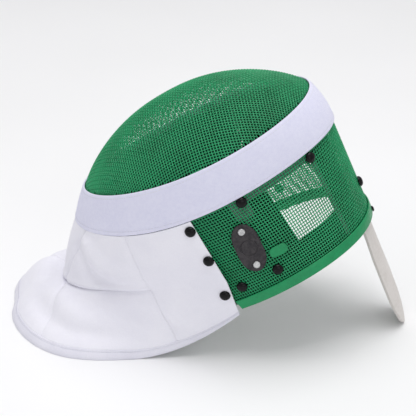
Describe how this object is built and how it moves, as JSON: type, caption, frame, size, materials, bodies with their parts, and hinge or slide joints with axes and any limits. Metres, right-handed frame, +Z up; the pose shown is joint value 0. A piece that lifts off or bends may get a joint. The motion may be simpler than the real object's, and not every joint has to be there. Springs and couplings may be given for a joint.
{
  "type": "fencing mask",
  "caption": "Woven-wire face mask with a padded inside, a cloth band round the face, a white throat bib and a springy tongue at the back of the head.",
  "frame": {"origin": "middle of the footprint of the bounding box, on the surface the mask lies on", "axes": "+X from the chin and the bib's front edge towards the crown and the tongue, +Y towards the wearer's right side, +Z up; the mask lies on the bib's hem and the tip of the tongue with its face up"},
  "size_m": [0.4372, 0.2218, 0.2779],
  "materials": {
    "wire": "woven steel wire in satin green enamel",
    "rim": "satin green moulded trim",
    "band": "close twill tape, slightly lavender white",
    "cloth": "smooth heavy white cloth",
    "black": "polished domed studs",
    "padding": "matt black padding",
    "navy": "matt navy padding",
    "tape": "matt grey seam tape",
    "plate": "dull dark metal",
    "steel": "bright flat rivets",
    "tongue": "smooth off-white, satin"
  },
  "bodies": {
    "root": {"dome_mesh": "wire", "side_mesh": "wire", "trim_band": "band", "rim_band": "rim", "mesh_button_left_1": "black", "mesh_button_left_2": "black", "mesh_button_left_3": "black", "mesh_button_left_4": "black", "mesh_button_right_1": "black", "mesh_button_right_2": "black", "mesh_button_right_3": "black", "mesh_button_right_4": "black", "crown_button": "black", "tongue_rivet": "black", "strap_plate": "plate", "plate_rivet_1": "steel", "plate_rivet_2": "steel", "oval_plate": "rim", "chin_pad": "navy", "brow_pad": "padding", "cheek_pad": "padding", "cheek_pad_right": "padding", "crown_lining": "padding", "lining_tape_back": "tape", "lining_tape_top": "tape", "bib_side_left": "cloth", "collar_left": "cloth", "skirt_left": "cloth", "collar_front": "cloth", "skirt_front": "cloth", "collar_right": "cloth", "skirt_right": "cloth", "bib_side_right": "cloth", "hem_binding": "cloth", "bib_button_left_1": "black", "bib_button_left_2": "black", "bib_button_left_3": "black", "bib_button_right_1": "black", "bib_button_right_2": "black", "bib_button_right_3": "black", "tongue": "tongue"}
  },
  "joints": []
}
